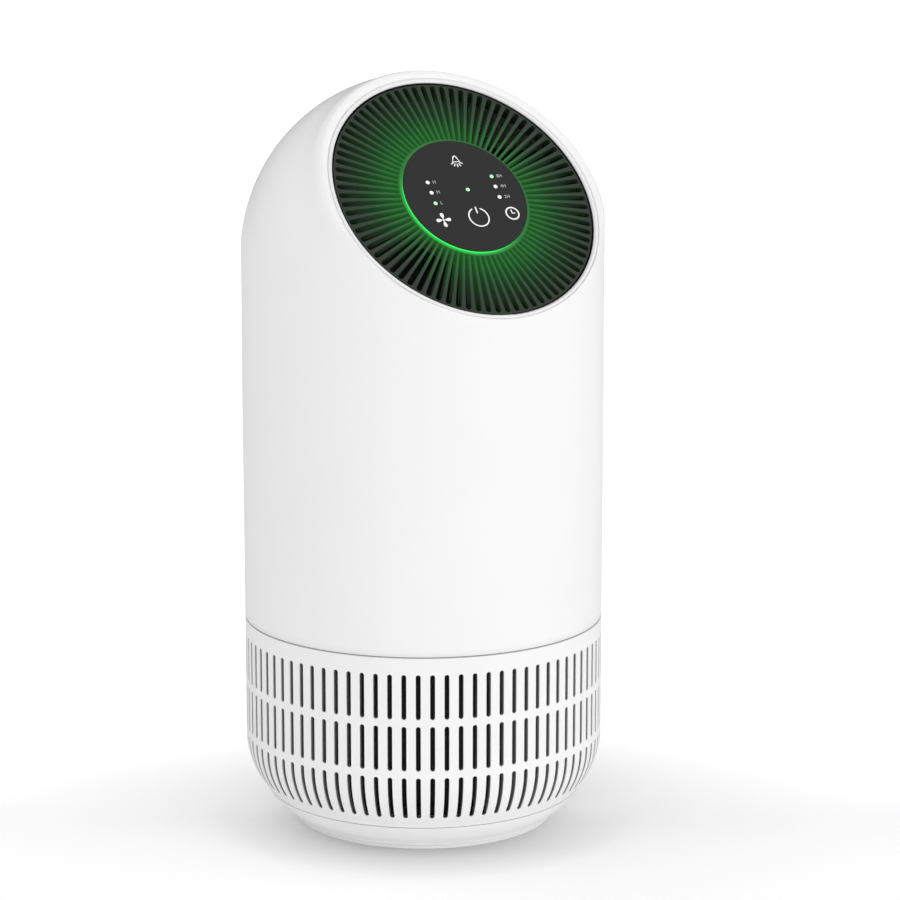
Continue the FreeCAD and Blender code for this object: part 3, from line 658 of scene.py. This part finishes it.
def ease(points, reach):
    """Evens out the stretch next to the seam; the seam itself stays."""
    run = [0.0]
    for a, b in zip(points, points[1:]):
        run.append(run[-1] + (b - a).length)
    out = []
    for i, p in enumerate(points):
        sigma = min(reach, run[i] * 0.5)
        if i == 0 or run[i] > 40 or sigma < 0.3:
            out.append(p)
            continue
        total, weight = Vector((0, 0, 0)), 0.0
        for j in range(max(0, i - 30), min(len(points), i + 31)):
            gap = run[j] - run[i]
            if abs(gap) > 3 * sigma:
                continue
            left = run[max(j - 1, 0)]
            right = run[min(j + 1, len(run) - 1)]
            w = math.exp(-gap * gap / (2 * sigma * sigma)) * (right - left)
            total += points[j] * w
            weight += w
        smooth = total / weight
        fade = 1.0 - min(max((run[i] - 25) / 15, 0.0), 1.0)
        out.append(p.lerp(smooth, fade))
    return out


def main_shell_skin():
    """Closed skin: the mouth's ledge and seam, the outside, the parting line, the inside."""
    rim = SEAM_RISE - DISC_RISE
    mouth = [loop_of(round_disc, radius, rise) for radius, rise in (
        (MOUTH_R, 0.1 - LEDGE_DROP),
        (MOUTH_R, -TRIM_DEPTH - 0.2),
        (MOUTH_R + 0.2, -TRIM_DEPTH),
        (TRIM_R + 0.03, -TRIM_DEPTH),
        (TRIM_R + 0.03, rim - 0.55),
        (SEAM_R, rim - 0.55),
        (SEAM_R, rim - 0.32),
        (SEAM_R + 0.10, rim - 0.10),
    )]
    angles = [2 * math.pi * k / COLUMNS for k in range(COLUMNS)]
    outside = zip(*[shell_column(angle) for angle in angles])
    inside = zip(*[inner_column(angle) for angle in angles])
    parting = [loop_of(round_z, BODY_R - 0.25, SPLIT_Z),
               loop_of(round_z, BODY_R - WALL + 0.25, SPLIT_Z)]
    loops = [*mouth, *outside, *parting, *inside]
    verts = [p * MM for loop in loops for p in loop]
    faces = []
    for i in range(len(loops)):
        here = i * COLUMNS
        there = ((i + 1) % len(loops)) * COLUMNS
        for k in range(COLUMNS):
            k1 = (k + 1) % COLUMNS
            faces.append((here + k, here + k1, there + k1, there + k))
    skin = add_mesh("main_shell_skin", verts, faces, "housing", "shell_white")
    cut_jack_hole(skin)
    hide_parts("main_shell")


def cut_jack_hole(skin):
    bm = bmesh.new()
    place = Matrix.Translation(Vector((0, BODY_R - 4.0, JACK_Z)) * MM)
    bmesh.ops.create_cone(bm, cap_ends=True, segments=96, radius1=JACK_HOLE_R * MM,
                          radius2=JACK_HOLE_R * MM, depth=30 * MM,
                          matrix=place @ Matrix.Rotation(math.pi / 2, 4, "X"))
    mesh = bpy.data.meshes.new("jack_hole_tool")
    bm.to_mesh(mesh)
    bm.free()
    tool = bpy.data.objects.new("jack_hole_tool", mesh)
    bpy.context.scene.collection.objects.link(tool)
    cut = skin.modifiers.new("hole", "BOOLEAN")
    cut.object = tool
    cut.operation = "DIFFERENCE"
    cut.solver = "EXACT"
    apply_modifiers(skin)
    bpy.data.objects.remove(tool)


def apply_modifiers(obj):
    graph = bpy.context.evaluated_depsgraph_get()
    done = bpy.data.meshes.new_from_object(obj.evaluated_get(graph))
    obj.modifiers.clear()
    obj.data = done


main_shell_skin()


# ------------------------------------------------------------------ marks on the touch panel
MARK_LOW = PANEL_TOP - 0.02
MARK_TOP = PANEL_TOP + 0.035


def stroke(points, width, closed=False):
    """Quads along a polyline, as a list of (left, right) pairs."""
    pairs = []
    n = len(points)
    for i, (x, y) in enumerate(points):
        if closed:
            x0, y0 = points[i - 1]
            x1, y1 = points[(i + 1) % n]
        else:
            x0, y0 = points[max(i - 1, 0)]
            x1, y1 = points[min(i + 1, n - 1)]
        dx, dy = x1 - x0, y1 - y0
        size = math.hypot(dx, dy) or 1.0
        nx, ny = -dy / size * width / 2, dx / size * width / 2
        pairs.append(((x + nx, y + ny), (x - nx, y - ny)))
    return pairs


class Marks:
    """Collects flat closed marks and turns them into one raised mesh."""

    def __init__(self):
        self.verts = []
        self.faces = []

    def _add(self, x, y, z):
        self.verts.append(on_disc(x, y, z))
        return len(self.verts) - 1

    def polygon(self, points):
        low = [self._add(x, y, MARK_LOW) for x, y in points]
        top = [self._add(x, y, MARK_TOP) for x, y in points]
        n = len(points)
        self.faces.append(tuple(reversed(low)))
        self.faces.append(tuple(top))
        for i in range(n):
            j = (i + 1) % n
            self.faces.append((low[i], low[j], top[j], top[i]))

    def ribbon(self, points, width, closed=False):
        pairs = stroke(points, width, closed)
        n = len(pairs)
        cells = []
        for left, right in pairs:
            cells.append((self._add(*left, MARK_LOW), self._add(*right, MARK_LOW),
                          self._add(*left, MARK_TOP), self._add(*right, MARK_TOP)))
        last = n if closed else n - 1
        for i in range(last):
            a, b = cells[i], cells[(i + 1) % n]
            self.faces.append((a[2], b[2], b[3], a[3]))
            self.faces.append((a[0], a[1], b[1], b[0]))
            self.faces.append((a[0], b[0], b[2], a[2]))
            self.faces.append((a[1], a[3], b[3], b[1]))
        if not closed:
            a, b = cells[0], cells[-1]
            self.faces.append((a[0], a[2], a[3], a[1]))
            self.faces.append((b[0], b[1], b[3], b[2]))
            for (x, y) in (points[0], points[-1]):
                self.dot(x, y, width / 2, 20)

    def dot(self, x, y, radius, sides=28):
        self.polygon([(x + radius * math.cos(2 * math.pi * i / sides),
                       y + radius * math.sin(2 * math.pi * i / sides)) for i in range(sides)])

    def build(self, name, slot_name, finish):
        return add_mesh(name, self.verts, self.faces, "housing", slot_name, False, finish)


def arc_points(x, y, radius, start, end, count):
    out = []
    for i in range(count + 1):
        a = math.radians(start + (end - start) * i / count)
        out.append((x + radius * math.cos(a), y + radius * math.sin(a)))
    return out


SHIFT = 2.1
POWER = (SHIFT + 0.3, -11.7)
CLOCK = (SHIFT + 17.4, -10.9)
FAN = (SHIFT - 17.3, -12.0)
LIGHT = (SHIFT - 0.5, 18.8)
LEVELS = (7.8, 2.4, -3.2)
LEFT_X = SHIFT - 18.2
RIGHT_X = SHIFT + 14.2
LINE = 0.62


def power_mark(marks):
    x, y = POWER
    marks.ribbon(arc_points(x, y, 4.75, 116, 424, 72), LINE)
    marks.ribbon([(x, y + 5.1), (x, y + 2.3)], LINE * 1.1)


def clock_mark(marks):
    x, y = CLOCK
    marks.ribbon(arc_points(x, y, 3.05, 0, 360, 60)[:-1], LINE * 1.1, closed=True)
    marks.ribbon([(x - 0.1, y + 1.7), (x - 0.1, y + 0.1), (x + 1.2, y + 0.1)], LINE)


def fan_mark(marks):
    x, y = FAN
    for quarter in range(4):
        turn = math.radians(90 * quarter - 14)
        c, s = math.cos(turn), math.sin(turn)
        blade = []
        for i in range(24):
            a = 2 * math.pi * i / 24
            along = 0.5 + 0.5 * math.cos(a)
            u = 0.3 + 3.2 * along
            v = 1.25 * math.sin(a) * along ** 0.7 + 0.75 * math.sin(math.pi * along * 0.55)
            blade.append((x + u * c - v * s, y + u * s + v * c))
        marks.polygon(blade)
    marks.dot(x, y, 0.45)


def light_mark(marks):
    x, y = LIGHT
    cone = arc_points(x, y + 1.25, 0.75, 25, 155, 12)
    shade = cone + [(x - 1.75, y - 1.0), (x + 1.75, y - 1.0)]
    marks.ribbon(shade, LINE * 0.9, closed=True)
    for k in range(5):
        a = math.radians(-90 + (k - 2) * 30)
        marks.ribbon([(x + 1.9 * math.cos(a), y - 0.5 + 1.9 * math.sin(a)),
                      (x + 3.1 * math.cos(a), y - 0.5 + 3.1 * math.sin(a))], LINE * 0.85)


def letters(text, x, y, size, name):
    """Small plain lettering for the speed and hour steps."""
    curve = bpy.data.curves.new(name, "FONT")
    curve.body = text
    curve.size = size
    curve.align_x = "LEFT"
    curve.align_y = "CENTER"
    curve.extrude = (MARK_TOP - MARK_LOW) / 2
    curve.resolution_u = 3
    holder = bpy.data.objects.new(name, curve)
    bpy.context.scene.collection.objects.link(holder)
    bpy.context.view_layer.update()
    graph = bpy.context.evaluated_depsgraph_get()
    mesh = bpy.data.meshes.new_from_object(holder.evaluated_get(graph))
    verts = [on_disc(x + v.co.x, y + v.co.y, (MARK_LOW + MARK_TOP) / 2 + v.co.z)
             for v in mesh.vertices]
    faces = [tuple(p.vertices) for p in mesh.polygons]
    bpy.data.objects.remove(holder)
    bpy.data.meshes.remove(mesh)
    return verts, faces


def panel_marks():
    white = lamp("mark_white", (0.74, 0.74, 0.74), 0.3)
    pale = lamp("mark_label", (0.36, 0.36, 0.36), 0.4)
    green = lamp("mark_green", (0.34, 0.80, 0.42), 0.62)
    icons = Marks()
    power_mark(icons)
    clock_mark(icons)
    fan_mark(icons)
    light_mark(icons)
    for y in LEVELS[:2]:
        icons.dot(LEFT_X, y, 0.95)
    for y in LEVELS[1:]:
        icons.dot(RIGHT_X, y + 1.2, 0.95)
    icons.build("panel_icons", "trim_white", white)
    lit = Marks()
    lit.dot(LEFT_X, LEVELS[2], 0.9)
    lit.dot(RIGHT_X, LEVELS[0] + 1.2, 0.9)
    lit.dot(SHIFT, 2.9, 0.9)
    lit.build("panel_lit_dots", "led", green)
    verts, faces = [], []
    labels = [("H", LEFT_X, LEVELS[0]), ("M", LEFT_X, LEVELS[1]), ("L", LEFT_X, LEVELS[2]),
              ("8H", RIGHT_X, LEVELS[0] + 1.2), ("4H", RIGHT_X, LEVELS[1] + 1.2),
              ("2H", RIGHT_X, LEVELS[2] + 1.2)]
    for text, x, y in labels:
        v, f = letters(text, x + 2.4, y, 2.3, "label_" + text)
        base = len(verts)
        verts.extend(v)
        faces.extend(tuple(i + base for i in face) for face in f)
    add_mesh("panel_labels", verts, faces, "housing", "trim_white", False, pale)


panel_marks()


# ------------------------------------------------------------------ floor, light, camera
CAMERA_AZIMUTH = math.radians(-28.82)
CAMERA_ELEVATION = 0.1995
CAMERA_DISTANCE = 1.3383
CAMERA_LENS = 117.356     # mm, on a 36 mm sensor
AIM_SIDE = 12.243 * MM    # the view's centre, right of the axis
AIM_HEIGHT = 170.125 * MM
LIGHTS_HEIGHT = 170.0 * MM
FORWARD = Vector((-math.sin(CAMERA_AZIMUTH), math.cos(CAMERA_AZIMUTH), 0.0))
RIGHT = Vector((math.cos(CAMERA_AZIMUTH), math.sin(CAMERA_AZIMUTH), 0.0))
SHADOW_FROM, SHADOW_TO = 0.060, 0.125   # reach of the contact shadow, from the axis


def stage():
    """Pale floor with painted light and shadow: camera rays see a glow that changes across it, and
    a soft contact shadow painted at the foot.
    """
    bm = bmesh.new()
    bmesh.ops.create_grid(bm, x_segments=8, y_segments=8, size=14.0)
    mesh = bpy.data.meshes.new("floor")
    bm.to_mesh(mesh)
    bm.free()
    floor = bpy.data.objects.new("floor", mesh)
    bpy.context.scene.collection.objects.link(floor)
    mat, tree, shader, where = new_material("floor_white")
    slow = noise(tree, where, 1.5, 2.0)
    shade = ramp(tree, slow, ((0.3, 0.925), (0.7, 0.935)))
    tree.links.new(shade, shader.inputs["Base Color"])
    behind = along(tree, where, FORWARD)
    far = value_range(tree, behind, -0.2, 1.8, 0.0, 1.0)
    # painted light: the glow rises behind the object and changes from side to side
    back_glow = ramp(tree, far, ((0.0, 0.15), (0.09, 0.09), (0.12, 0.19), (0.167, 0.38),
                                 (0.3, 0.47), (1.0, 0.6)))
    across = value_range(tree, along(tree, where, RIGHT), -0.2, 0.2, 0.0, 1.0)
    side_glow = ramp(tree, across, ((0.0, 0.12), (0.26, 0.08), (0.68, 0.0), (1.0, 0.08)))
    reach, _ = radius_and_height(tree, where)
    near = value_range(tree, reach, SHADOW_FROM, SHADOW_TO, 0.0, 1.0)
    # painted shadow: contact shadow round the foot, strongest in front, for camera rays only
    contact = ramp(tree, near, ((0.0, 0.48), (0.11, 0.41), (0.25, 0.30), (0.38, 0.21),
                                (0.66, 0.03), (1.0, 0.0)))
    in_front = value_range(tree, behind, -0.06, 0.005, 1.0, 0.12)
    seen = tree.nodes.new("ShaderNodeLightPath").outputs["Is Camera Ray"]
    dimmed = math_node(tree, "MULTIPLY", math_node(tree, "MULTIPLY", contact, in_front), seen)
    shadow = math_node(tree, "SUBTRACT", 1.0, dimmed)
    shade_by(tree, shader, shadow)
    glow = math_node(tree, "MULTIPLY", math_node(tree, "ADD", back_glow, side_glow), shadow)
    tree.links.new(glow, shader.inputs["Emission Color"])
    tree.links.new(seen, shader.inputs["Emission Strength"])
    shader.inputs["Roughness"].default_value = 0.95
    shader.inputs["Specular IOR Level"].default_value = 0.0
    mesh.materials.append(mat)


def view_from(azimuth, elevation):
    """Unit vector towards a viewer; azimuth 0 is the front, -Y."""
    flat = math.cos(elevation)
    return Vector((math.sin(azimuth) * flat, -math.cos(azimuth) * flat, math.sin(elevation)))


def soft_light(name, azimuth, elevation, distance, size, power):
    """Area light aimed at the middle of the object; angles in degrees, sizes in metres."""
    data = bpy.data.lights.new(name, "AREA")
    data.shape = "RECTANGLE"
    data.size = size[0]
    data.size_y = size[1]
    data.energy = power
    light = bpy.data.objects.new(name, data)
    bpy.context.scene.collection.objects.link(light)
    back = view_from(math.radians(azimuth), math.radians(elevation))
    aim = Vector((0, 0, LIGHTS_HEIGHT))
    light.location = aim + back * distance
    light.rotation_mode = "QUATERNION"
    light.rotation_quaternion = (-back).to_track_quat("-Z", "Y")
    return light


def world():
    """White backdrop; the studio is brighter above and in front than behind the object."""
    sky = bpy.data.worlds.new("studio")
    bpy.context.scene.world = sky
    sky.use_nodes = True
    tree = sky.node_tree
    lit = tree.nodes["Background"]
    coord = tree.nodes.new("ShaderNodeTexCoord")
    where = coord.outputs["Generated"]
    split = tree.nodes.new("ShaderNodeSeparateXYZ")
    tree.links.new(where, split.inputs[0])
    shade = ramp(tree, split.outputs["Z"], ((0.0, 0.44), (0.4, 0.66), (1.0, 0.54)))
    turn = value_range(tree, along(tree, where, -FORWARD), -1.0, 1.0, 0.0, 1.0)
    factor = ramp(tree, turn, ((0.06, 0.02), (0.20, 0.62), (0.50, 0.95), (0.80, 1.25)))
    tree.links.new(scaled(tree, shade, factor), lit.inputs["Color"])
    lit.inputs["Strength"].default_value = 1.40
    white = tree.nodes.new("ShaderNodeBackground")
    white.inputs["Color"].default_value = (1.0, 1.0, 1.0, 1.0)
    white.inputs["Strength"].default_value = 1.02
    path = tree.nodes.new("ShaderNodeLightPath")
    mix = tree.nodes.new("ShaderNodeMixShader")
    tree.links.new(path.outputs["Is Camera Ray"], mix.inputs["Fac"])
    tree.links.new(lit.outputs["Background"], mix.inputs[1])
    tree.links.new(white.outputs["Background"], mix.inputs[2])
    tree.links.new(mix.outputs["Shader"], tree.nodes["World Output"].inputs["Surface"])


def camera():
    """Stands at the front left, a little above, with a long lens."""
    back = view_from(CAMERA_AZIMUTH, CAMERA_ELEVATION)
    aim = RIGHT * AIM_SIDE + Vector((0, 0, AIM_HEIGHT))
    data = bpy.data.cameras.new("camera")
    data.lens = CAMERA_LENS
    data.sensor_width = 36.0
    cam = bpy.data.objects.new("camera", data)
    bpy.context.scene.collection.objects.link(cam)
    cam.location = aim + back * CAMERA_DISTANCE
    cam.rotation_mode = "QUATERNION"
    cam.rotation_quaternion = (-back).to_track_quat("-Z", "Y")
    bpy.context.scene.camera = cam


stage()
world()
soft_light("key", 27, 8, 1.8, (1.0, 1.4), 10.3)
soft_light("fill", -88, 10, 1.8, (1.0, 1.4), 3.2)
soft_light("back", 150, 66, 1.9, (1.0, 1.0), 0.8)
camera()
bpy.context.scene.view_settings.view_transform = "Standard"
